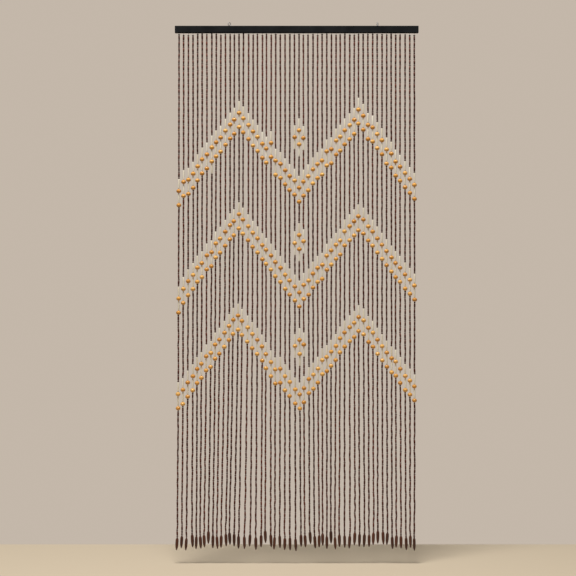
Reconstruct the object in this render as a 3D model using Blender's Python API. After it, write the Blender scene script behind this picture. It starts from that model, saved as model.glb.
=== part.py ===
"""A bead curtain on its rail, in metres, with +Z up and the front facing -Y.

Fifty-two strings of wooden beads hang from a narrow heading strip, which lies in a groove
under a black wooden rail. Two small screw eyes stand on the rail's top edge. Round beads,
strung in pairs, draw three zigzag bands across the curtain, with small diamonds where each
band dips in the middle. Every string ends in a wooden pendant.

The origin is the centre of the rail's back face, which lies on the plane y = 0.
"""
import math
import random
from collections import namedtuple

import bmesh
import bpy
from mathutils import Matrix, Vector

# The rail
RAIL_LENGTH = 0.925
RAIL_HEIGHT = 0.026
RAIL_DEPTH = 0.020
RAIL_BEVEL = 0.0012
BEVEL_STEPS = 2
CUT_PAST = 0.002

# The heading strip in the rail's groove
CLEARANCE = 0.0003
STRIP_LENGTH = 0.905
STRIP_WIDTH = 0.007
STRIP_HEIGHT = 0.005

# The screw eyes, and where each stands along the rail and how far it is turned
EYE_RING_RADIUS = 0.00535
EYE_WIRE_RADIUS = 0.0011
EYE_NECK = 0.0015
EYE_SHANK_IN_RAIL = 0.012
RING_STEPS = 20
WIRE_SIDES = 8
POST_SIDES = 12
ScrewEye = namedtuple("ScrewEye", "name across turn_degrees")
SCREW_EYES = (
    ScrewEye("eye_left", -0.256, 30),
    ScrewEye("eye_right", 0.307, 60),
)

# The strings: how many, how far apart, and how long without the pendant
STRINGS = 52
PITCH = 0.0175
BEADED_LENGTH = 1.900

# Beads: the length of string that each takes up, with the slack beside it, and the radii
LENGTH = {
    "small": 0.0058,
    "tube": 0.0168,
    "pale": 0.0380,
    "round": 0.0156,
    "pendant": 0.0500,
}
UNIT = LENGTH["tube"] + LENGTH["small"]
TUBE_RADIUS = 0.0033
ROUND_RADIUS = 0.0092

# The pendant's outline, by the distance below its top
Turning = namedtuple("Turning", "down radius")
PENDANT = (
    Turning(0.000, 0.0030),
    Turning(0.007, 0.0054),
    Turning(0.033, 0.0054),
    Turning(0.050, 0.0018),
)

# The zigzag: the strings where it peaks and dips, and the brown units above and between
PEAKS = (13, 39)
DIP = 26
UNITS_ABOVE_PEAK = 11
UNITS_BETWEEN_BANDS = 12
BANDS = 3

# What hangs where the patterned beads are
PAIR = ("pale", "round", "pale", "round")
ONE_ROUND = ("pale", "round", "pale")
TWO_ROUND = ("pale", "round", "pale", "round", "pale")

# The strings at the dip and beside it, from the rail down: brown units, then what is under them
Stretch = namedtuple("Stretch", "units pattern")
AT_DIP = (
    Stretch(14, TWO_ROUND),
    Stretch(3, PAIR),
    Stretch(3, TWO_ROUND),
    Stretch(3, PAIR),
    Stretch(3, TWO_ROUND),
    Stretch(2, PAIR),
)
BESIDE_DIP = (
    Stretch(15, ONE_ROUND),
    Stretch(3, PAIR),
    Stretch(5, ONE_ROUND),
    Stretch(3, PAIR),
    Stretch(5, ONE_ROUND),
    Stretch(3, PAIR),
)

# The stringer's slips: units and small beads strung above a stretch, and pale tubes under it.
# The last run is the brown one above the pendant.
Slip = namedtuple("Slip", "strings stretch units smalls pales")
LAST_RUN = -1
HIGH_IN_TOP_BAND = (1, 22, 23, 24, 28, 29, 30, 32, 34, 39, 40, 42, 43, 44)
SLIPS = (
    Slip(HIGH_IN_TOP_BAND, 0, -1, 2, 0),
    Slip(HIGH_IN_TOP_BAND, 1, 0, 2, 0),
    Slip((0,), 1, 1, 0, 0),
    Slip((0,), 2, -1, 0, 0),
    Slip((1, 5, 31, 35, 46), 1, 0, 2, 0),
    Slip((7,), 0, 0, 0, 1),
    Slip((7,), 1, -1, 0, 0),
    Slip((20,), 0, -2, 0, 0),
    Slip((20,), 1, 2, 0, 0),
    Slip((20, 21), 2, 1, 0, 0),
    Slip((19, 25), 2, 0, 2, 0),
    Slip((26,), 5, 0, 2, 0),
    Slip((12, 28, 35, 47), 2, -1, 2, 0),
    Slip((31,), 2, -1, 0, 0),
    Slip((39,), 1, 1, -2, 0),
    Slip((33, 38, 43, 44, 45), LAST_RUN, -1, 0, 0),
    Slip((3, 12, 13, 16, 18, 19, 27, 28, 41, 42), LAST_RUN, -1, 2, 0),
    Slip((1, 26, 39, 51), LAST_RUN, 0, 2, 0),
    Slip((5, 25, 46), LAST_RUN, 1, 0, 0),
)

# How unevenly the strings hang: the limits of each small difference
HANG_SEED = 1691
SLACK = (0.001, 0.008)
STRETCH = (0.995, 1.005)
SIDE_STEP = 0.0012
BOW = 0.0012
FOOT_WOBBLE = 0.0015
DEPTH_WOBBLE = 0.0006
TILT = 0.07
DRIFT_POWER = 2.5

# How far the strings' feet have drifted along the rail, at the strings where that changes
Drift = namedtuple("Drift", "string along")
DRIFTS = (
    Drift(0, -0.008),
    Drift(4, -0.005),
    Drift(8, -0.014),
    Drift(12, -0.019),
    Drift(15, -0.016),
    Drift(17, -0.006),
    Drift(23, -0.001),
    Drift(26, 0.006),
    Drift(30, 0.006),
    Drift(34, -0.005),
    Drift(39, 0.004),
    Drift(51, 0.002),
)
Hang = namedtuple("Hang", "slack stretch step bow foot depth tilt")


def clear_scene():
    """Remove whatever the file holds."""
    for item in list(bpy.data.objects):
        bpy.data.objects.remove(item, do_unlink=True)


def make_material(name, colour, roughness, metallic):
    """One plain finish."""
    material = bpy.data.materials.new(name)
    material.use_nodes = True
    shader = material.node_tree.nodes["Principled BSDF"]
    shader.inputs["Base Color"].default_value = (*colour, 1.0)
    shader.inputs["Roughness"].default_value = roughness
    shader.inputs["Metallic"].default_value = metallic
    return material


def make_object(name, mesh, material=None):
    """Turn a bmesh into a named object."""
    data = bpy.data.meshes.new(name)
    mesh.to_mesh(data)
    mesh.free()
    if material:
        data.materials.append(material)
    made = bpy.data.objects.new(name, data)
    bpy.context.scene.collection.objects.link(made)
    return made


def make_block(name, size, centre, material=None):
    """A box of the given size around its centre."""
    mesh = bmesh.new()
    bmesh.ops.create_cube(mesh, size=1.0, matrix=Matrix.Translation(centre) @ Matrix.Diagonal((*size, 1.0)))
    return make_object(name, mesh, material)


def make_post(name, radius, bottom, top):
    """An upright round bar between two points."""
    mesh = bmesh.new()
    middle = (Vector(bottom) + Vector(top)) / 2
    bmesh.ops.create_cone(
        mesh,
        cap_ends=True,
        segments=POST_SIDES,
        radius1=radius,
        radius2=radius,
        depth=top[2] - bottom[2],
        matrix=Matrix.Translation(middle),
    )
    return make_object(name, mesh)


def as_guide(shape):
    """Mark a shape that only cuts or joins another one."""
    shape.hide_render = True
    shape.display_type = "WIRE"
    return shape


def combine(target, guide, operation):
    """Cut a guide out of the target, or join it on."""
    modifier = target.modifiers.new(guide.name, "BOOLEAN")
    modifier.operation = operation
    modifier.solver = "EXACT"
    modifier.object = as_guide(guide)


def run(units):
    """A brown run: small beads with one tube between each two."""
    return ("small",) + ("tube", "small") * units


def planned_stretches(string):
    """The patterned beads of a string, each lot with the brown units strung above it."""
    if string == DIP:
        return AT_DIP
    if abs(string - DIP) == 1:
        return BESIDE_DIP
    from_peak = min(abs(string - peak) for peak in PEAKS)
    first = Stretch(UNITS_ABOVE_PEAK + from_peak, PAIR)
    return (first,) + (Stretch(UNITS_BETWEEN_BANDS, PAIR),) * (BANDS - 1)


def slipped_stretch(string, number, units, pattern):
    """The beads of one stretch, with the slips that its string has there."""
    slips = [slip for slip in SLIPS if string in slip.strings and slip.stretch == number]
    units += sum(slip.units for slip in slips)
    smalls = sum(slip.smalls for slip in slips)
    pales = sum(slip.pales for slip in slips)
    return run(units) + ("small",) * smalls + pattern + ("pale",) * pales


def bead_order(string):
    """The beads of one string from the rail down, with its pendant last."""
    beads = ()
    for number, (units, pattern) in enumerate(planned_stretches(string)):
        beads += slipped_stretch(string, number, units, pattern)
    left_over = BEADED_LENGTH - sum(LENGTH[bead] for bead in beads)
    last_units = round((left_over - LENGTH["small"]) / UNIT)
    return beads + slipped_stretch(string, LAST_RUN, last_units, ("pendant",))


def hang(string):
    """How one string strays from the even plan, the same every time."""
    dice = random.Random(HANG_SEED * STRINGS + string)
    return Hang(
        slack=dice.uniform(*SLACK),
        stretch=dice.uniform(*STRETCH),
        step=dice.uniform(-SIDE_STEP, SIDE_STEP),
        bow=dice.uniform(-BOW, BOW),
        foot=dice.uniform(-FOOT_WOBBLE, FOOT_WOBBLE),
        depth=dice.uniform(-DEPTH_WOBBLE, DEPTH_WOBBLE),
        tilt=dice.uniform(-TILT, TILT),
    )


def drift(string):
    """How far a string's foot has moved along the rail."""
    for near, far in zip(DRIFTS, DRIFTS[1:]):
        if near.string <= string <= far.string:
            share = (string - near.string) / (far.string - near.string)
            return near.along + share * (far.along - near.along)


def place(string, distance):
    """The point of a string's line at a distance below the rail."""
    own = hang(string)
    fall = max(distance, 0) / BEADED_LENGTH
    across = (string - (STRINGS - 1) / 2) * PITCH + own.step
    across += own.bow * math.sin(math.pi * fall)
    across += (drift(string) + own.foot) * fall ** DRIFT_POWER
    deep = -RAIL_DEPTH / 2 + own.depth * fall
    return Vector((across, deep, -RAIL_HEIGHT / 2 - distance * own.stretch))


def strand_sections(string):
    """The sections down one string, each a centre and a radius."""
    own = hang(string)
    root = place(string, -STRIP_HEIGHT / 2)
    sections = [(root, TUBE_RADIUS)]
    distance = own.slack
    for bead in bead_order(string):
        length = LENGTH[bead]
        if bead == "round":
            sections.append((place(string, distance), TUBE_RADIUS))
            sections.append((place(string, distance + length / 2), ROUND_RADIUS))
            sections.append((place(string, distance + length), TUBE_RADIUS))
            last_patterned = distance + length
        elif bead == "pendant":
            for share in (1 / 3, 2 / 3):
                between = last_patterned + share * (distance - last_patterned)
                sections.append((place(string, between), TUBE_RADIUS))
            top = place(string, distance)
            for turning in PENDANT:
                centre = top + Vector((own.tilt * turning.down, 0, -turning.down))
                sections.append((centre, turning.radius))
        distance += length
    return sections


def add_strand(mesh, sections):
    """One four-sided strand through its sections, with two corners in the curtain's plane."""
    rings = []
    for centre, radius in sections:
        corners = ((radius, 0, 0), (0, radius, 0), (-radius, 0, 0), (0, -radius, 0))
        rings.append([mesh.verts.new(centre + Vector(corner)) for corner in corners])
    mesh.faces.new(rings[0])
    for upper, lower in zip(rings, rings[1:]):
        for side in range(4):
            after = (side + 1) % 4
            mesh.faces.new((upper[side], lower[side], lower[after], upper[after]))
    mesh.faces.new(reversed(rings[-1]))


def make_strings(material):
    """The heading strip with all its strings, as one body."""
    mesh = bmesh.new()
    for string in range(STRINGS):
        add_strand(mesh, strand_sections(string))
    strands = make_object("strands", mesh)
    strip_centre = (0, -RAIL_DEPTH / 2, -RAIL_HEIGHT / 2 + STRIP_HEIGHT / 2)
    strip_size = (STRIP_LENGTH, STRIP_WIDTH, STRIP_HEIGHT)
    strings = make_block("strings", strip_size, strip_centre, material)
    combine(strings, strands, "UNION")


def make_rail(material):
    """The rail, with a groove under it for the strip and a socket for each eye."""
    rail = make_block("rail", (RAIL_LENGTH, RAIL_DEPTH, RAIL_HEIGHT), (0, -RAIL_DEPTH / 2, 0), material)
    bevel = rail.modifiers.new("softened edges", "BEVEL")
    bevel.width = RAIL_BEVEL
    bevel.segments = BEVEL_STEPS
    groove_top = -RAIL_HEIGHT / 2 + STRIP_HEIGHT + CLEARANCE
    groove_bottom = -RAIL_HEIGHT / 2 - CUT_PAST
    groove_size = (
        STRIP_LENGTH + 2 * CLEARANCE,
        STRIP_WIDTH + 2 * CLEARANCE,
        groove_top - groove_bottom,
    )
    groove_centre = (0, -RAIL_DEPTH / 2, (groove_top + groove_bottom) / 2)
    combine(rail, make_block("groove", groove_size, groove_centre), "DIFFERENCE")
    for eye in SCREW_EYES:
        foot = (eye.across, -RAIL_DEPTH / 2, RAIL_HEIGHT / 2 - EYE_SHANK_IN_RAIL - CLEARANCE)
        mouth = (eye.across, -RAIL_DEPTH / 2, RAIL_HEIGHT / 2 + CUT_PAST)
        socket = make_post("socket_" + eye.name, EYE_WIRE_RADIUS + CLEARANCE, foot, mouth)
        combine(rail, socket, "DIFFERENCE")


def make_screw_eye(eye, material):
    """A wire ring on a shank that goes down into the rail."""
    ring_height = RAIL_HEIGHT / 2 + EYE_NECK + EYE_WIRE_RADIUS + EYE_RING_RADIUS
    bpy.ops.mesh.primitive_torus_add(
        major_segments=RING_STEPS,
        minor_segments=WIRE_SIDES,
        major_radius=EYE_RING_RADIUS,
        minor_radius=EYE_WIRE_RADIUS,
    )
    ring = bpy.context.active_object
    ring.name = eye.name
    ring.data.name = eye.name
    stand_up = Matrix.Rotation(math.pi / 2, 4, "X")
    turn = Matrix.Rotation(math.radians(eye.turn_degrees), 4, "Z")
    ring.data.transform(turn @ stand_up)
    ring.location = (eye.across, -RAIL_DEPTH / 2, ring_height)
    ring.data.materials.append(material)
    ring.data.shade_smooth()
    foot = (eye.across, -RAIL_DEPTH / 2, RAIL_HEIGHT / 2 - EYE_SHANK_IN_RAIL)
    head = (eye.across, -RAIL_DEPTH / 2, ring_height - EYE_RING_RADIUS)
    combine(ring, make_post("shank_" + eye.name, EYE_WIRE_RADIUS, foot, head), "UNION")


def main():
    """Make every piece."""
    clear_scene()
    make_rail(make_material("black paint", (0.018, 0.019, 0.020), 0.45, 0.0))
    make_strings(make_material("brown wood", (0.085, 0.015, 0.007), 0.55, 0.0))
    steel = make_material("steel", (0.55, 0.56, 0.58), 0.3, 1.0)
    for eye in SCREW_EYES:
        make_screw_eye(eye, steel)


main()
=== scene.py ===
# %% [markdown]
# # A bead curtain on its rail
#
# A door curtain of fifty-two strings. Each string is a cord threaded through small brown
# beads and tubes, with pale tubes and round golden beads where the zigzag bands pass, and a
# dark turned pendant at its foot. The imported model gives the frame: its rail stays, and its
# plain strands are replaced here by every single bead.

import math
import random
from collections import namedtuple

import bmesh
import bpy
from mathutils import Matrix, Vector


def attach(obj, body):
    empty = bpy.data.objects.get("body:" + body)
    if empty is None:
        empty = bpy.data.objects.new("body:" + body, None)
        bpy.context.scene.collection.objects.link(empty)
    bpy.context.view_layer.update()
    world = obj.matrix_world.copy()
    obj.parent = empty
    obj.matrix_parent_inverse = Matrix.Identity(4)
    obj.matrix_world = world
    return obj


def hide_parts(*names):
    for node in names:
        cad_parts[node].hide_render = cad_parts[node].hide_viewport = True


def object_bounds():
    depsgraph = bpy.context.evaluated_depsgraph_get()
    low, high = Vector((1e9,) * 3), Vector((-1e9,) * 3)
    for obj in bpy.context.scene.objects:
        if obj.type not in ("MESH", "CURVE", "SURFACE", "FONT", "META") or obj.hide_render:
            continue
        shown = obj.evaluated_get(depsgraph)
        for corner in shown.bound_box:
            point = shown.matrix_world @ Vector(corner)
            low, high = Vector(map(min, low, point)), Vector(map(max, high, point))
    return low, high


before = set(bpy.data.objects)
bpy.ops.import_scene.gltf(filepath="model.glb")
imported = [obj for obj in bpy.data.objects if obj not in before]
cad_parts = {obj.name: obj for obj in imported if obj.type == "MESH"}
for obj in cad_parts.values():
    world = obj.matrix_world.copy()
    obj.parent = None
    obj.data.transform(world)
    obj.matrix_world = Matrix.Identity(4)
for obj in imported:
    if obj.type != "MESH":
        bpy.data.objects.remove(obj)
cad_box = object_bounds()
print("nodes in the frame:", sorted(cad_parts))

# %% [markdown]
# ## The camera
#
# The curtain is seen straight on, from far enough away that the rail and the strings look
# square. A long lens at that distance takes in a little more than the curtain's length.

# %% Set the camera
LENS = 0.085
SENSOR = 0.036
FIELD = 2.189
AIM = Vector((-0.033, -0.010, -0.982))

camera_data = bpy.data.cameras.new("camera")
camera_data.lens = LENS * 1000
camera_data.sensor_width = SENSOR * 1000
camera = bpy.data.objects.new("camera", camera_data)
bpy.context.scene.collection.objects.link(camera)
camera_distance = FIELD * LENS / SENSOR
camera.location = AIM + Vector((0, -camera_distance, 0))
camera.rotation_euler = (math.pi / 2, 0, 0)
bpy.context.scene.camera = camera
bpy.context.scene.view_settings.view_transform = "Standard"
print("camera distance in metres:", round(camera_distance, 2))

# %% [markdown]
# ## What each string holds
#
# A stringer counts beads rather than measuring. So the pattern is kept as counts: a brown run
# is a number of units, each a tube and a small bead, and a band is a pair of round beads with
# a pale tube above each. One unit more or less from string to string slopes the bands. The
# few slips of the hand are kept too.

# %% Count the beads of each string
STRINGS = 52
BEADED_LENGTH = 1.900
LENGTH = {
    "small": 0.0058,
    "tube": 0.0168,
    "pale": 0.0380,
    "round": 0.0156,
    "pendant": 0.0500,
}
UNIT = LENGTH["tube"] + LENGTH["small"]

PEAKS = (13, 39)
DIP = 26
UNITS_ABOVE_PEAK = 11
UNITS_BETWEEN_BANDS = 12
BANDS = 3

PAIR = ("pale", "round", "pale", "round")
ONE_ROUND = ("pale", "round", "pale")
TWO_ROUND = ("pale", "round", "pale", "round", "pale")

# The strings at the dip and beside it, from the rail down: brown units, then what is under them
Stretch = namedtuple("Stretch", "units pattern")
AT_DIP = (
    Stretch(14, TWO_ROUND),
    Stretch(3, PAIR),
    Stretch(3, TWO_ROUND),
    Stretch(3, PAIR),
    Stretch(3, TWO_ROUND),
    Stretch(2, PAIR),
)
BESIDE_DIP = (
    Stretch(15, ONE_ROUND),
    Stretch(3, PAIR),
    Stretch(5, ONE_ROUND),
    Stretch(3, PAIR),
    Stretch(5, ONE_ROUND),
    Stretch(3, PAIR),
)

# The stringer's slips: units and small beads strung above a stretch, and pale tubes under it.
# The last run is the brown one above the pendant.
Slip = namedtuple("Slip", "strings stretch units smalls pales")
LAST_RUN = -1
HIGH_IN_TOP_BAND = (1, 22, 23, 24, 28, 29, 30, 32, 34, 39, 40, 42, 43, 44)
SLIPS = (
    Slip(HIGH_IN_TOP_BAND, 0, -1, 2, 0),
    Slip(HIGH_IN_TOP_BAND, 1, 0, 2, 0),
    Slip((0,), 1, 1, 0, 0),
    Slip((0,), 2, -1, 0, 0),
    Slip((1, 5, 31, 35, 46), 1, 0, 2, 0),
    Slip((7,), 0, 0, 0, 1),
    Slip((7,), 1, -1, 0, 0),
    Slip((20,), 0, -2, 0, 0),
    Slip((20,), 1, 2, 0, 0),
    Slip((20, 21), 2, 1, 0, 0),
    Slip((19, 25), 2, 0, 2, 0),
    Slip((26,), 5, 0, 2, 0),
    Slip((12, 28, 35, 47), 2, -1, 2, 0),
    Slip((31,), 2, -1, 0, 0),
    Slip((39,), 1, 1, -2, 0),
    Slip((33, 38, 43, 44, 45), LAST_RUN, -1, 0, 0),
    Slip((3, 12, 13, 16, 18, 19, 27, 28, 41, 42), LAST_RUN, -1, 2, 0),
    Slip((1, 26, 39, 51), LAST_RUN, 0, 2, 0),
    Slip((5, 25, 46), LAST_RUN, 1, 0, 0),
)


def run(units):
    """A brown run: small beads with one tube between each two."""
    return ("small",) + ("tube", "small") * units


def planned_stretches(string):
    """The patterned beads of a string, each lot with the brown units strung above it."""
    if string == DIP:
        return AT_DIP
    if abs(string - DIP) == 1:
        return BESIDE_DIP
    from_peak = min(abs(string - peak) for peak in PEAKS)
    first = Stretch(UNITS_ABOVE_PEAK + from_peak, PAIR)
    return (first,) + (Stretch(UNITS_BETWEEN_BANDS, PAIR),) * (BANDS - 1)


def slipped_stretch(string, number, units, pattern):
    """The beads of one stretch, with the slips that its string has there."""
    slips = [slip for slip in SLIPS if string in slip.strings and slip.stretch == number]
    units += sum(slip.units for slip in slips)
    smalls = sum(slip.smalls for slip in slips)
    pales = sum(slip.pales for slip in slips)
    return run(units) + ("small",) * smalls + pattern + ("pale",) * pales


def bead_order(string):
    """The beads of one string from the rail down, with its pendant last."""
    beads = ()
    for number, (units, pattern) in enumerate(planned_stretches(string)):
        beads += slipped_stretch(string, number, units, pattern)
    left_over = BEADED_LENGTH - sum(LENGTH[bead] for bead in beads)
    last_units = round((left_over - LENGTH["small"]) / UNIT)
    return beads + slipped_stretch(string, LAST_RUN, last_units, ("pendant",))


counts = {kind: sum(bead_order(string).count(kind) for string in range(STRINGS)) for kind in LENGTH}
print("beads of each kind:", counts)

# %% [markdown]
# ## How each string hangs
#
# No two strings hang quite alike. Each has a little slack under the rail, is a touch longer
# or shorter, and has drifted sideways at its foot, some of them in groups. The same dice and
# the same short table of drifts shape the strands in the frame, so the beads land on them.

# %% Hang a string's line
RAIL_HEIGHT = 0.026
RAIL_DEPTH = 0.020
PITCH = 0.0175
HANG_SEED = 1691
SLACK = (0.001, 0.008)
STRETCH = (0.995, 1.005)
SIDE_STEP = 0.0012
BOW = 0.0012
FOOT_WOBBLE = 0.0015
DEPTH_WOBBLE = 0.0006
TILT = 0.07
DRIFT_POWER = 2.5

Drift = namedtuple("Drift", "string along")
DRIFTS = (
    Drift(0, -0.008),
    Drift(4, -0.005),
    Drift(8, -0.014),
    Drift(12, -0.019),
    Drift(15, -0.016),
    Drift(17, -0.006),
    Drift(23, -0.001),
    Drift(26, 0.006),
    Drift(30, 0.006),
    Drift(34, -0.005),
    Drift(39, 0.004),
    Drift(51, 0.002),
)
Hang = namedtuple("Hang", "slack stretch step bow foot depth tilt")


def hang(string):
    """How one string strays from the even plan, the same every time."""
    dice = random.Random(HANG_SEED * STRINGS + string)
    return Hang(
        slack=dice.uniform(*SLACK),
        stretch=dice.uniform(*STRETCH),
        step=dice.uniform(-SIDE_STEP, SIDE_STEP),
        bow=dice.uniform(-BOW, BOW),
        foot=dice.uniform(-FOOT_WOBBLE, FOOT_WOBBLE),
        depth=dice.uniform(-DEPTH_WOBBLE, DEPTH_WOBBLE),
        tilt=dice.uniform(-TILT, TILT),
    )


def drift(string):
    """How far a string's foot has moved along the rail."""
    for near, far in zip(DRIFTS, DRIFTS[1:]):
        if near.string <= string <= far.string:
            share = (string - near.string) / (far.string - near.string)
            return near.along + share * (far.along - near.along)


def place(string, distance):
    """The point of a string's line at a distance below the rail."""
    own = hang(string)
    fall = max(distance, 0) / BEADED_LENGTH
    across = (string - (STRINGS - 1) / 2) * PITCH + own.step
    across += own.bow * math.sin(math.pi * fall)
    across += (drift(string) + own.foot) * fall ** DRIFT_POWER
    deep = -RAIL_DEPTH / 2 + own.depth * fall
    return Vector((across, deep, -RAIL_HEIGHT / 2 - distance * own.stretch))


print("foot of the first string:", tuple(round(value, 3) for value in place(0, BEADED_LENGTH)))

# %% [markdown]
# ## Thread the beads
#
# A string of stiff tubes is not a smooth line: it bends a little at every small bead. So each
# small bead is nudged off the line, and a tube runs straight from one nudge to the next. For
# every bead we keep its middle, the way it points, its size and its tint, and the cord keeps
# the joints that it passes through.

# %% Work out every bead and every joint
KINK_AT_RAIL = 0.0004
KINK_AT_FOOT = 0.0011
BEAD_SEED = 3100
CORD_INTO_RAIL = 0.004
CORD_INTO_PENDANT = 0.006
THICKNESS_SPREAD = {"small": 0.09, "tube": 0.08, "pale": 0.06, "round": 0.035, "pendant": 0.05}
LENGTH_SPREAD = {"small": 0.05, "tube": 0.012, "pale": 0.006, "round": 0.03, "pendant": 0.04}

# How far one string's beads share a shade, because they come from one batch
BATCH_SHARE = {"small": 0.4, "tube": 0.55, "pale": 0.3, "round": 0.0, "pendant": 0.5}

Bead = namedtuple("Bead", "middle along size tint")


def thread(string):
    """One string's beads by kind, and the joints of its cord."""
    own = hang(string)
    dice = random.Random(BEAD_SEED + string)
    beads = {kind: [] for kind in LENGTH}
    shade = dice.random()
    nudge = Vector((0, 0, 0))
    distance = own.slack
    start = place(string, distance)
    joints = [place(string, -CORD_INTO_RAIL), start]
    for kind in bead_order(string):
        end = place(string, distance + LENGTH[kind])
        if kind == "pendant":
            end = start + Vector((own.tilt, 0, -1)) * LENGTH[kind]
        elif kind != "small":
            kink = KINK_AT_RAIL + (KINK_AT_FOOT - KINK_AT_RAIL) * distance / BEADED_LENGTH
            nudge = Vector((dice.uniform(-kink, kink), dice.uniform(-kink, kink), 0))
            end += nudge
        else:
            end += nudge
        wide = 1 + dice.uniform(-1, 1) * THICKNESS_SPREAD[kind]
        long = 1 + dice.uniform(-1, 1) * LENGTH_SPREAD[kind]
        own_shade = BATCH_SHARE[kind]
        tint = own_shade * shade + (1 - own_shade) * dice.random()
        beads[kind].append(Bead((start + end) / 2, start - end, Vector((wide, wide, long)), tint))
        if kind != "pendant":
            joints.append(end)
        distance += LENGTH[kind]
        start = end
    joints[-1] = joints[-1] - Vector((0, 0, CORD_INTO_PENDANT))
    return beads, joints


threaded = [thread(string) for string in range(STRINGS)]
print("joints on all the cords:", sum(len(joints) for beads, joints in threaded))

# %% [markdown]
# ## Helpers for node trees
#
# Both the shapes and the finishes are node trees. One helper adds a node, sets it up and
# links or fills its inputs, so that a tree reads from top to bottom like a recipe.

# %% Add nodes in one line each


def add(tree, kind, inputs=None, **settings):
    """Add a node, set it up, and link or fill its inputs."""
    node = tree.nodes.new(kind)
    for name, value in settings.items():
        setattr(node, name, value)
    for key, value in (inputs or {}).items():
        if isinstance(value, bpy.types.NodeSocket):
            tree.links.new(value, node.inputs[key])
        else:
            node.inputs[key].default_value = value
    return node


def reckon(tree, operation, *values):
    """A Math node's result."""
    inputs = dict(enumerate(values))
    return add(tree, "ShaderNodeMath", inputs, operation=operation).outputs[0]


# %% [markdown]
# ## A bead as a rule
#
# A turned bead is a profile spun round its hole. One rule covers four kinds: walk an angle
# from the top of the hole to the bottom, take its sine for the radius and its cosine for the
# height, and raise both to a power. A power of one gives a ball, and a small power gives a
# tube with softened ends. The angle is counted in steps, because the length along a profile
# changes as soon as its points are moved. The tree sets the finished bead on every point it
# is given, turns it along its string, and ends with real faces, because the export drops
# instances.

# %% Build the tree that turns and strings the beads


def new_tree(name, sizes):
    """An empty geometry tree with named inputs: a float, an integer or a material each."""
    tree = bpy.data.node_groups.new(name, "GeometryNodeTree")
    tree.interface.new_socket("Geometry", in_out="INPUT", socket_type="NodeSocketGeometry")
    kinds = {float: "NodeSocketFloat", int: "NodeSocketInt", bpy.types.Material: "NodeSocketMaterial"}
    for label, kind in sizes.items():
        tree.interface.new_socket(label, in_out="INPUT", socket_type=kinds[kind])
    tree.interface.new_socket("Geometry", in_out="OUTPUT", socket_type="NodeSocketGeometry")
    return tree, add(tree, "NodeGroupInput").outputs


def named_vector(tree, name):
    """A vector that each point carries."""
    carried = add(tree, "GeometryNodeInputNamedAttribute", {"Name": name}, data_type="FLOAT_VECTOR")
    return carried.outputs["Attribute"]


def end_tree(tree, given, shape):
    """End a tree in real faces with a finish."""
    real = add(tree, "GeometryNodeRealizeInstances", {"Geometry": shape})
    finished = add(
        tree,
        "GeometryNodeSetMaterial",
        {"Geometry": real.outputs[0], "Material": given["Finish"]},
    )
    add(tree, "NodeGroupOutput", {"Geometry": finished.outputs[0]})


def string_on_points(tree, given, shape):
    """Set a shape on every point, turned along its string."""
    along = named_vector(tree, "along")
    turned = add(tree, "FunctionNodeAlignRotationToVector", {"Vector": along}, axis="Z")
    placed = add(
        tree,
        "GeometryNodeInstanceOnPoints",
        {
            "Points": given["Geometry"],
            "Instance": shape,
            "Rotation": turned.outputs[0],
            "Scale": named_vector(tree, "size"),
        },
    )
    end_tree(tree, given, placed.outputs[0])


def spin(tree, given, height, radius):
    """Spin a profile: a height and a radius at each step down a short line."""
    line = add(tree, "GeometryNodeCurvePrimitiveLine", {"End": (0, 0, -1)})
    steps = add(tree, "GeometryNodeResampleCurve", {"Curve": line.outputs[0], "Count": given["Rings"]})
    at_height = add(tree, "ShaderNodeCombineXYZ", {"Z": height})
    moved = add(
        tree,
        "GeometryNodeSetPosition",
        {"Geometry": steps.outputs[0], "Position": at_height.outputs[0]},
    )
    circle = add(
        tree,
        "GeometryNodeCurvePrimitiveCircle",
        {"Resolution": given["Sides"], "Radius": 1.0},
    )
    body = add(
        tree,
        "GeometryNodeCurveToMesh",
        {
            "Curve": moved.outputs[0],
            "Profile Curve": circle.outputs[0],
            "Scale": radius,
            "Fill Caps": True,
        },
    )
    return add(tree, "GeometryNodeSetShadeSmooth", {"Geometry": body.outputs[0]}).outputs[0]


def make_bead_tree():
    """Turn a bead between a ball and a tube, and string it."""
    sizes = {
        "Half Length": float,
        "Radius": float,
        "Hole Radius": float,
        "Roundness": float,
        "Rings": int,
        "Sides": int,
        "Finish": bpy.types.Material,
    }
    tree, given = new_tree("turned bead", sizes)
    hole_share = reckon(tree, "DIVIDE", given["Hole Radius"], given["Radius"])
    inverse = reckon(tree, "DIVIDE", 1.0, given["Roundness"])
    first_angle = reckon(tree, "ARCSINE", reckon(tree, "POWER", hole_share, inverse))
    last_angle = reckon(tree, "SUBTRACT", math.pi, first_angle)
    step = add(tree, "GeometryNodeSplineParameter").outputs["Index"]
    along = reckon(tree, "DIVIDE", step, reckon(tree, "SUBTRACT", given["Rings"], 1.0))
    angle = add(tree, "ShaderNodeMapRange", {"Value": along, "To Min": first_angle, "To Max": last_angle})
    cosine = reckon(tree, "COSINE", angle.outputs[0])
    squared = reckon(tree, "POWER", reckon(tree, "ABSOLUTE", cosine), given["Roundness"])
    signed = reckon(tree, "MULTIPLY", squared, reckon(tree, "SIGN", cosine))
    height = reckon(tree, "MULTIPLY", signed, given["Half Length"])
    sine = reckon(tree, "POWER", reckon(tree, "SINE", angle.outputs[0]), given["Roundness"])
    radius = reckon(tree, "MULTIPLY", sine, given["Radius"])
    string_on_points(tree, given, spin(tree, given, height, radius))
    return tree


bead_tree = make_bead_tree()
print("nodes in the bead tree:", len(bead_tree.nodes))

# %% [markdown]
# ## Points that carry the beads
#
# A bead's place, direction, size and tint travel on a point. The modifier turns the points
# into beads, and its result becomes a plain mesh, so nothing is left live on the piece.

# %% Turn points into a piece


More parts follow.
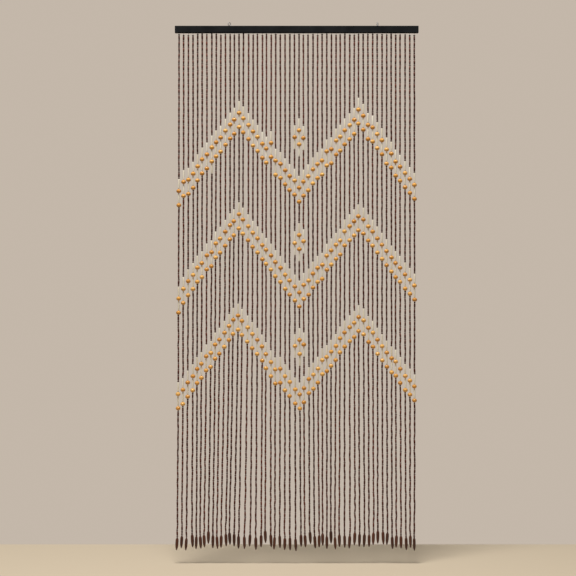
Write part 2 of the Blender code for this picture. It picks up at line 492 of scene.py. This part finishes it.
def points_object(name, beads):
    """One point for each bead, with its direction, size and tint."""
    data = bpy.data.meshes.new(name)
    data.from_pydata([bead.middle for bead in beads], [], [])
    for label in ("along", "size"):
        layer = data.attributes.new(label, "FLOAT_VECTOR", "POINT")
        layer.data.foreach_set("vector", [value for bead in beads for value in getattr(bead, label)])
    layer = data.attributes.new("tint", "FLOAT", "POINT")
    layer.data.foreach_set("value", [bead.tint for bead in beads])
    made = bpy.data.objects.new(name, data)
    bpy.context.scene.collection.objects.link(made)
    return made


def run_tree(start, tree, values):
    """Run a geometry tree on an object, and keep only the mesh that comes out."""
    modifier = start.modifiers.new(tree.name, "NODES")
    modifier.node_group = tree
    for item in tree.interface.items_tree:
        if item.in_out == "INPUT" and item.name in values:
            modifier[item.identifier] = values[item.name]
    depsgraph = bpy.context.evaluated_depsgraph_get()
    result = bpy.data.meshes.new_from_object(start.evaluated_get(depsgraph), depsgraph=depsgraph)
    start.modifiers.remove(modifier)
    start.data = result
    return start


def settle(piece):
    """Let a piece stand for the plain strands, and print how many triangles it has."""
    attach(piece, "root")
    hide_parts("strings")
    triangles = sum(len(face.vertices) - 2 for face in piece.data.polygons)
    print(piece.name, "has", triangles, "triangles")
    return piece


# %% [markdown]
# ## Finishes
#
# Every finish starts from the same parts: a tint that differs from bead to bead, wood grain
# that runs along the bead, and a gloss that is not quite even. The grain reads the object's
# own coordinates, pushed along by the tint, so that no two beads show the same grain. The
# brown stain colours its own sheen, and the other woods have a clear one.

# %% Build the recipe for a wood finish
WoodFinish = namedtuple("WoodFinish", "name dark middle light grain rough coat gloss sheen")
CLEAR_SHEEN = (1.0, 1.0, 1.0)
RED_SHEEN = (1.0, 0.45, 0.38)
COAT_ROUGHNESS = 0.15

# The grain's fineness across and along a string, the broader clouds in it, and its relief
GRAIN_SCALE = (900.0, 900.0, 90.0)
CLOUD_SCALE = (0.25, 0.25, 0.35)
GRAIN_SHIFT = 7.0
GRAIN_RELIEF = 0.25
GRAIN_DEPTH = 0.0001


def grain_place(tree):
    """Coordinates stretched along the string and shifted from bead to bead."""
    coordinates = add(tree, "ShaderNodeTexCoord").outputs["Object"]
    tint = add(tree, "ShaderNodeAttribute", attribute_name="tint").outputs["Fac"]
    shift = reckon(tree, "MULTIPLY", tint, GRAIN_SHIFT)
    moved = add(tree, "ShaderNodeVectorMath", {0: coordinates, 1: shift}, operation="ADD").outputs[0]
    return add(tree, "ShaderNodeMapping", {"Vector": moved, "Scale": GRAIN_SCALE}).outputs[0], tint


def colour_ramp(tree, factor, stops):
    """A ramp through the given positions and colours."""
    ramp = add(tree, "ShaderNodeValToRGB", {"Fac": factor})
    elements = ramp.color_ramp.elements
    while len(elements) < len(stops):
        elements.new(0.5)
    for element, (position, colour) in zip(elements, stops):
        element.position = position
        element.color = (*colour, 1.0)
    return ramp.outputs["Color"]


def mix_colour(tree, factor, first, second, blend="MIX"):
    """Two colours mixed by a factor."""
    node = add(tree, "ShaderNodeMix", data_type="RGBA", blend_type=blend)
    for number, value in ((0, factor), (6, first), (7, second)):
        if isinstance(value, bpy.types.NodeSocket):
            tree.links.new(value, node.inputs[number])
        else:
            node.inputs[number].default_value = value
    return node.outputs[2]


def new_finish(name):
    """An empty material and its shader."""
    finish = bpy.data.materials.new(name)
    finish.use_nodes = True
    return finish, finish.node_tree, finish.node_tree.nodes["Principled BSDF"]


def wood_finish(recipe):
    """Lacquered wood that varies from bead to bead."""
    finish, tree, shader = new_finish(recipe.name)
    where, tint = grain_place(tree)
    fine = add(
        tree,
        "ShaderNodeTexNoise",
        {"Vector": where, "Scale": 1.0, "Detail": 3.0, "Roughness": 0.6},
    )
    broad_place = add(tree, "ShaderNodeMapping", {"Vector": where, "Scale": CLOUD_SCALE}).outputs[0]
    broad = add(tree, "ShaderNodeTexNoise", {"Vector": broad_place, "Scale": 1.0, "Detail": 2.0})
    stops = ((0.0, recipe.dark), (0.5, recipe.middle), (1.0, recipe.light))
    bead_colour = colour_ramp(tree, tint, stops)
    streak = colour_ramp(
        tree,
        fine.outputs["Fac"],
        ((0.30, (1 - recipe.grain,) * 3), (0.65, (1.0, 1.0, 1.0))),
    )
    cloud = colour_ramp(
        tree,
        broad.outputs["Fac"],
        ((0.30, (1 - recipe.grain * 0.6,) * 3), (0.70, (1.0, 1.0, 1.0))),
    )
    grained = mix_colour(tree, 1.0, bead_colour, streak, "MULTIPLY")
    coloured = mix_colour(tree, 1.0, grained, cloud, "MULTIPLY")
    tree.links.new(coloured, shader.inputs["Base Color"])
    uneven = add(
        tree,
        "ShaderNodeMapRange",
        {"Value": broad.outputs["Fac"], "To Min": recipe.rough * 0.8, "To Max": recipe.rough * 1.25},
    )
    tree.links.new(uneven.outputs[0], shader.inputs["Roughness"])
    bump = add(
        tree,
        "ShaderNodeBump",
        {"Height": fine.outputs["Fac"], "Strength": GRAIN_RELIEF, "Distance": GRAIN_DEPTH},
    )
    tree.links.new(bump.outputs[0], shader.inputs["Normal"])
    shader.inputs["Coat Weight"].default_value = recipe.coat
    shader.inputs["Coat Roughness"].default_value = COAT_ROUGHNESS
    shader.inputs["Specular IOR Level"].default_value = recipe.gloss
    shader.inputs["Specular Tint"].default_value = (*recipe.sheen, 1.0)
    return finish


# %% [markdown]
# ## Five woods
#
# The tubes and the small beads share one stain, and the small beads are the darker. The
# golden and pale woods are nearly even, and the pendants have a glossier dark lacquer.

# %% Make the five wood finishes
brown_tube_finish = wood_finish(
    WoodFinish(
        name="brown tube wood",
        dark=(0.042, 0.008, 0.004),
        middle=(0.080, 0.016, 0.0075),
        light=(0.145, 0.031, 0.015),
        grain=0.40,
        rough=0.60,
        coat=0.0,
        gloss=0.50,
        sheen=RED_SHEEN,
    )
)
brown_bead_finish = wood_finish(
    WoodFinish(
        name="brown bead wood",
        dark=(0.024, 0.004, 0.002),
        middle=(0.045, 0.007, 0.0035),
        light=(0.090, 0.016, 0.0075),
        grain=0.35,
        rough=0.60,
        coat=0.0,
        gloss=0.50,
        sheen=RED_SHEEN,
    )
)
golden_finish = wood_finish(
    WoodFinish(
        name="golden lacquered wood",
        dark=(0.64, 0.28, 0.050),
        middle=(0.76, 0.37, 0.075),
        light=(0.86, 0.48, 0.13),
        grain=0.18,
        rough=0.30,
        coat=0.4,
        gloss=0.12,
        sheen=CLEAR_SHEEN,
    )
)
pale_finish = wood_finish(
    WoodFinish(
        name="pale wood",
        dark=(0.76, 0.68, 0.52),
        middle=(0.84, 0.77, 0.62),
        light=(0.89, 0.84, 0.72),
        grain=0.10,
        rough=0.45,
        coat=0.10,
        gloss=0.12,
        sheen=CLEAR_SHEEN,
    )
)
pendant_finish = wood_finish(
    WoodFinish(
        name="dark pendant wood",
        dark=(0.050, 0.013, 0.005),
        middle=(0.082, 0.021, 0.008),
        light=(0.130, 0.036, 0.015),
        grain=0.35,
        rough=0.40,
        coat=0.15,
        gloss=0.35,
        sheen=CLEAR_SHEEN,
    )
)
print("wood finishes made:", [made.name for made in bpy.data.materials if made.name.endswith("wood")])

# %% [markdown]
# ## String the beads
#
# Each kind of bead is a row of sizes in a short table. The thousands of brown tubes and small
# beads are turned with few sides, and each of those two kinds is made as two pieces, one for
# each half of the curtain, to keep the meshes light.

# %% Make the beads
Turned = namedtuple("Turned", "kind length radius hole roundness rings sides finish slot halves")
TURNED = (
    Turned("tube", 0.0164, 0.0033, 0.0008, 0.25, 5, 8, brown_tube_finish, "string_brown", 2),
    Turned("small", 0.0056, 0.0038, 0.0008, 0.85, 5, 8, brown_bead_finish, "string_brown", 2),
    Turned("pale", 0.0372, 0.0030, 0.0008, 0.22, 7, 12, pale_finish, "tube_pale", 1),
    Turned("round", 0.0155, 0.0092, 0.0012, 1.00, 12, 16, golden_finish, "bead_orange", 1),
)
PIECE_NAMES = {
    "tube": ("brown_tubes_left", "brown_tubes_right"),
    "small": ("small_beads_left", "small_beads_right"),
    "pale": ("pale_tubes",),
    "round": ("round_beads",),
}

for turned in TURNED:
    share = STRINGS // turned.halves
    for half, name in enumerate(PIECE_NAMES[turned.kind]):
        strings = threaded[half * share:(half + 1) * share]
        beads = [bead for kinds, joints in strings for bead in kinds[turned.kind]]
        values = {
            "Half Length": turned.length / 2,
            "Radius": turned.radius,
            "Hole Radius": turned.hole,
            "Roundness": turned.roundness,
            "Rings": turned.rings,
            "Sides": turned.sides,
            "Finish": turned.finish,
        }
        settle(run_tree(points_object(name, beads), bead_tree, values))

# %% [markdown]
# ## The pendants
#
# A pendant is turned too, but its outline has a collar, a shoulder, a long belly and a blunt
# tip, which no single rule gives. A Float Curve holds that outline the way a turner's
# template does: distance down the pendant on one axis, radius on the other.

# %% Turn the pendants
PENDANT_LENGTH = 0.050
PENDANT_RADIUS = 0.0057
PENDANT_RINGS = 26
PENDANT_SIDES = 20
OutlinePoint = namedtuple("OutlinePoint", "down wide")
PENDANT_OUTLINE = (
    OutlinePoint(0.00, 0.42),
    OutlinePoint(0.03, 0.58),
    OutlinePoint(0.06, 0.54),
    OutlinePoint(0.14, 0.90),
    OutlinePoint(0.32, 1.00),
    OutlinePoint(0.62, 0.96),
    OutlinePoint(0.88, 0.60),
    OutlinePoint(1.00, 0.22),
)


def make_pendant_tree():
    """Turn a pendant from its outline, and hang it."""
    sizes = {
        "Length": float,
        "Radius": float,
        "Rings": int,
        "Sides": int,
        "Finish": bpy.types.Material,
    }
    tree, given = new_tree("turned pendant", sizes)
    down = add(tree, "GeometryNodeSplineParameter").outputs["Factor"]
    outline = add(tree, "ShaderNodeFloatCurve", {"Value": down})
    points = outline.mapping.curves[0].points
    while len(points) < len(PENDANT_OUTLINE):
        points.new(0.5, 0.5)
    for point, wanted in zip(points, PENDANT_OUTLINE):
        point.location = (wanted.down, wanted.wide)
    outline.mapping.update()
    radius = reckon(tree, "MULTIPLY", outline.outputs[0], given["Radius"])
    from_middle = reckon(tree, "SUBTRACT", 0.5, down)
    height = reckon(tree, "MULTIPLY", from_middle, given["Length"])
    string_on_points(tree, given, spin(tree, given, height, radius))
    return tree


pendant_values = {
    "Length": PENDANT_LENGTH,
    "Radius": PENDANT_RADIUS,
    "Rings": PENDANT_RINGS,
    "Sides": PENDANT_SIDES,
    "Finish": pendant_finish,
}
pendant_beads = [bead for kinds, joints in threaded for bead in kinds["pendant"]]
pendants = run_tree(points_object("pendants", pendant_beads), make_pendant_tree(), pendant_values)
settle(pendants)

# %% [markdown]
# ## The cords
#
# The cord shows only as a dark thread between the beads and just under the rail. It is one
# thin tube for each string through all the joints, made by a tree that turns edges into
# curves and sweeps a small circle along them.

# %% Sweep the cords
CORD_RADIUS = 0.0006
CORD_SIDES = 4
CORD_TWIST = 400.0
CORD_DARK = (0.030, 0.014, 0.010)
CORD_LIGHT = (0.090, 0.045, 0.030)


def make_cord_finish():
    """A dark twisted cord."""
    finish, tree, shader = new_finish("brown cord")
    place_in_piece = add(tree, "ShaderNodeTexCoord").outputs["Object"]
    twist = add(
        tree,
        "ShaderNodeTexWave",
        {"Vector": place_in_piece, "Scale": CORD_TWIST, "Distortion": 1.5},
        bands_direction="DIAGONAL",
    )
    stops = ((0.0, CORD_DARK), (1.0, CORD_LIGHT))
    tree.links.new(colour_ramp(tree, twist.outputs["Fac"], stops), shader.inputs["Base Color"])
    shader.inputs["Roughness"].default_value = 0.8
    return finish


def make_cord_tree():
    """Sweep a circle along every chain of edges."""
    sizes = {"Radius": float, "Sides": int, "Finish": bpy.types.Material}
    tree, given = new_tree("cord sweep", sizes)
    path = add(tree, "GeometryNodeMeshToCurve", {"Mesh": given["Geometry"]})
    circle = add(
        tree,
        "GeometryNodeCurvePrimitiveCircle",
        {"Resolution": given["Sides"], "Radius": given["Radius"]},
    )
    swept = add(
        tree,
        "GeometryNodeCurveToMesh",
        {"Curve": path.outputs[0], "Profile Curve": circle.outputs[0], "Fill Caps": True},
    )
    smooth = add(tree, "GeometryNodeSetShadeSmooth", {"Geometry": swept.outputs[0]})
    end_tree(tree, given, smooth.outputs[0])
    return tree


def cord_paths():
    """The joints of every string, chained by edges."""
    corners = []
    edges = []
    for beads, joints in threaded:
        first = len(corners)
        corners += joints
        edges += [(first + step, first + step + 1) for step in range(len(joints) - 1)]
    data = bpy.data.meshes.new("cords")
    data.from_pydata(corners, edges, [])
    made = bpy.data.objects.new("cords", data)
    bpy.context.scene.collection.objects.link(made)
    return made


cord_values = {"Radius": CORD_RADIUS, "Sides": CORD_SIDES, "Finish": make_cord_finish()}
settle(run_tree(cord_paths(), make_cord_tree(), cord_values))

# %% [markdown]
# ## The rail
#
# The rail in the frame already has its true form: a flat bar with softened edges. It only
# needs its paint: near black and satin, with the wood's grain just showing through and a
# little rubbed along the edges.

# %% Paint the rail
RAIL_EDGE = 0.0012
RAIL_GRAIN_SCALE = (6.0, 90.0, 260.0)
RAIL_PATCHES = 24.0
PAINT_DARK = (0.0085, 0.0092, 0.0098)
PAINT_LIGHT = (0.0150, 0.0160, 0.0168)
RUBBED_COLOUR = (0.055, 0.045, 0.038, 1.0)
RUBBED_ABOVE = 0.52
RUBBED_SHARE = 0.35


def make_rail_finish():
    """Black satin paint on a grained bar."""
    finish, tree, shader = new_finish("black rail paint")
    where = add(tree, "ShaderNodeTexCoord").outputs["Object"]
    along_bar = add(tree, "ShaderNodeMapping", {"Vector": where, "Scale": RAIL_GRAIN_SCALE}).outputs[0]
    grain = add(
        tree,
        "ShaderNodeTexNoise",
        {"Vector": along_bar, "Scale": 1.0, "Detail": 5.0, "Roughness": 0.6},
    )
    patches = add(tree, "ShaderNodeTexNoise", {"Vector": where, "Scale": RAIL_PATCHES, "Detail": 4.0})
    paint = colour_ramp(tree, patches.outputs["Fac"], ((0.30, PAINT_DARK), (0.75, PAINT_LIGHT)))
    height = add(tree, "ShaderNodeSeparateXYZ", {"Vector": where}).outputs["Z"]
    from_middle = reckon(tree, "ABSOLUTE", height)
    near_edge = add(
        tree,
        "ShaderNodeMapRange",
        {"Value": from_middle, "From Min": RAIL_HEIGHT / 2 - RAIL_EDGE, "From Max": RAIL_HEIGHT / 2},
    ).outputs[0]
    in_patch = reckon(tree, "GREATER_THAN", patches.outputs["Fac"], RUBBED_ABOVE)
    rubbed = reckon(tree, "MULTIPLY", near_edge, in_patch)
    wear = reckon(tree, "MULTIPLY", rubbed, RUBBED_SHARE)
    tree.links.new(mix_colour(tree, wear, paint, RUBBED_COLOUR), shader.inputs["Base Color"])
    satin = add(
        tree,
        "ShaderNodeMapRange",
        {"Value": patches.outputs["Fac"], "To Min": 0.42, "To Max": 0.58},
    )
    tree.links.new(satin.outputs[0], shader.inputs["Roughness"])
    shader.inputs["Specular IOR Level"].default_value = 0.05
    bump = add(
        tree,
        "ShaderNodeBump",
        {"Height": grain.outputs["Fac"], "Strength": 0.35, "Distance": 0.0003},
    )
    tree.links.new(bump.outputs[0], shader.inputs["Normal"])
    return finish


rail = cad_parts["rail"]
rail.data.materials.clear()
rail.data.materials.append(make_rail_finish())
print("rail is painted")

# %% [markdown]
# ## The screw eyes
#
# Two plated wire eyes stand on the rail. The frame's eyes are closed rings. A real one is one
# wire, bent round until its end almost meets the neck, so a curve with a round bevel follows
# that bend and goes down into the rail.

# %% Bend the screw eyes
EYE_RING_RADIUS = 0.00535
EYE_WIRE_RADIUS = 0.0011
EYE_NECK = 0.0015
EYE_SHANK = 0.012
EYE_LIFT = 0.0003
EYE_GAP_DEGREES = 24
EYE_STEPS = 40
SHANK_SHARES = (0.35, 0.7, 1.0)
ZINC_DULL = (0.32, 0.33, 0.35)
ZINC_BRIGHT = (0.55, 0.56, 0.58)
ScrewEye = namedtuple("ScrewEye", "name node across turn_degrees")
SCREW_EYES = (
    ScrewEye("screw_eye_left", "eye_left", -0.256, 30),
    ScrewEye("screw_eye_right", "eye_right", 0.307, 60),
)


def make_eye_finish():
    """Zinc plate, a little dulled."""
    finish, tree, shader = new_finish("zinc plate")
    where = add(tree, "ShaderNodeTexCoord").outputs["Object"]
    dulled = add(tree, "ShaderNodeTexNoise", {"Vector": where, "Scale": 700.0, "Detail": 4.0})
    stops = ((0.30, ZINC_DULL), (0.75, ZINC_BRIGHT))
    tree.links.new(colour_ramp(tree, dulled.outputs["Fac"], stops), shader.inputs["Base Color"])
    rough = add(
        tree,
        "ShaderNodeMapRange",
        {"Value": dulled.outputs["Fac"], "To Min": 0.22, "To Max": 0.42},
    )
    tree.links.new(rough.outputs[0], shader.inputs["Roughness"])
    shader.inputs["Metallic"].default_value = 1.0
    return finish


def bend_eye(eye, finish):
    """One wire: the ring from its open end round to the neck, then the shank in its socket."""
    turn = Matrix.Rotation(math.radians(eye.turn_degrees), 3, "Z")
    base = Vector((eye.across, -RAIL_DEPTH / 2, RAIL_HEIGHT / 2))
    ring_height = EYE_NECK + EYE_WIRE_RADIUS + EYE_RING_RADIUS
    path = []
    for step in range(EYE_STEPS + 1):
        share = step / EYE_STEPS
        swing = math.radians(EYE_GAP_DEGREES) * (1 - share) + 2 * math.pi * share
        ring = Vector((math.sin(swing), 0, -math.cos(swing))) * EYE_RING_RADIUS
        path.append(base + Vector((0, 0, ring_height)) + turn @ ring)
    for share in SHANK_SHARES:
        height = EYE_NECK - share * (EYE_SHANK + EYE_NECK) + EYE_LIFT
        path.append(base + Vector((0, 0, height)))
    curve = bpy.data.curves.new(eye.name, "CURVE")
    curve.dimensions = "3D"
    curve.bevel_depth = EYE_WIRE_RADIUS
    curve.bevel_resolution = 4
    curve.use_fill_caps = True
    spline = curve.splines.new("POLY")
    spline.points.add(len(path) - 1)
    for point, corner in zip(spline.points, path):
        point.co = (*corner, 1)
    wire = bpy.data.objects.new(eye.name + "_wire", curve)
    bpy.context.scene.collection.objects.link(wire)
    data = bpy.data.meshes.new_from_object(wire)
    bpy.data.objects.remove(wire)
    data.materials.clear()
    data.materials.append(finish)
    data.shade_smooth()
    made = bpy.data.objects.new(eye.name, data)
    bpy.context.scene.collection.objects.link(made)
    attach(made, "root")
    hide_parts(eye.node)
    return made


eye_finish = make_eye_finish()
for eye in SCREW_EYES:
    print(bend_eye(eye, eye_finish).name, "is bent")

# %% [markdown]
# ## The floor
#
# A pale floor passes just under the pendants and ends a little behind them. It is short, so
# that little light comes up from it and the undersides of the round beads stay dark.

# %% Lay the floor
FLOOR_BELOW_FOOT = 0.050
FLOOR_BACK = 0.39
FLOOR_FRONT = -1.8
FLOOR_SIDE = 4.0
FLOOR_COLOUR = (0.62, 0.52, 0.385, 1.0)

foot = cad_box[0][2]
floor_height = foot - FLOOR_BELOW_FOOT
floor_mesh = bmesh.new()
corners = (
    (-FLOOR_SIDE, FLOOR_FRONT),
    (FLOOR_SIDE, FLOOR_FRONT),
    (FLOOR_SIDE, FLOOR_BACK),
    (-FLOOR_SIDE, FLOOR_BACK),
)
floor_mesh.faces.new([floor_mesh.verts.new((*corner, floor_height)) for corner in corners])
floor_data = bpy.data.meshes.new("floor")
floor_mesh.to_mesh(floor_data)
floor_mesh.free()
floor = bpy.data.objects.new("floor", floor_data)
bpy.context.scene.collection.objects.link(floor)
floor_finish, floor_tree, floor_shader = new_finish("pale floor")
floor_shader.inputs["Base Color"].default_value = FLOOR_COLOUR
floor_shader.inputs["Roughness"].default_value = 0.6
floor_data.materials.append(floor_finish)
print("floor height:", round(floor_height, 3))

# %% [markdown]
# ## The light
#
# The light is soft and comes mostly from above and in front, which gives the round beads a
# bright top. The room adds a little from all sides, and the camera sees a warm backdrop.

# %% Set the lights
Light = namedtuple("Light", "name place width height watts colour")
LIGHT_AIM = Vector((0, 0, -1.0))
LIGHTS = (
    Light("key", (-0.8, -2.1, 4.4), 2.6, 1.6, 500.0, (1.0, 0.98, 0.95)),
    Light("fill", (2.2, -3.4, -0.6), 1.8, 2.2, 8.0, (1.0, 0.95, 0.90)),
)
BACKDROP_COLOUR = (0.55, 0.475, 0.40, 1.0)
ROOM_LIGHT_COLOUR = (1.0, 0.95, 0.90, 1.0)
ROOM_LIGHT_STRENGTH = 0.12

for light in LIGHTS:
    data = bpy.data.lights.new(light.name, "AREA")
    data.shape = "RECTANGLE"
    data.size = light.width
    data.size_y = light.height
    data.energy = light.watts
    data.color = light.colour
    lamp = bpy.data.objects.new(light.name, data)
    lamp.location = light.place
    lamp.rotation_euler = (LIGHT_AIM - Vector(light.place)).to_track_quat("-Z", "Y").to_euler()
    bpy.context.scene.collection.objects.link(lamp)

world = bpy.data.worlds.new("pale room")
bpy.context.scene.world = world
world.use_nodes = True
room = world.node_tree
backdrop = room.nodes["Background"]
backdrop.inputs["Color"].default_value = BACKDROP_COLOUR
room_light = add(
    room,
    "ShaderNodeBackground",
    {"Color": ROOM_LIGHT_COLOUR, "Strength": ROOM_LIGHT_STRENGTH},
)
seen_directly = add(room, "ShaderNodeLightPath").outputs["Is Camera Ray"]
choice = add(
    room,
    "ShaderNodeMixShader",
    {0: seen_directly, 1: room_light.outputs[0], 2: backdrop.outputs[0]},
)
room.links.new(choice.outputs[0], room.nodes["World Output"].inputs["Surface"])
print("lights:", [light.name for light in LIGHTS])
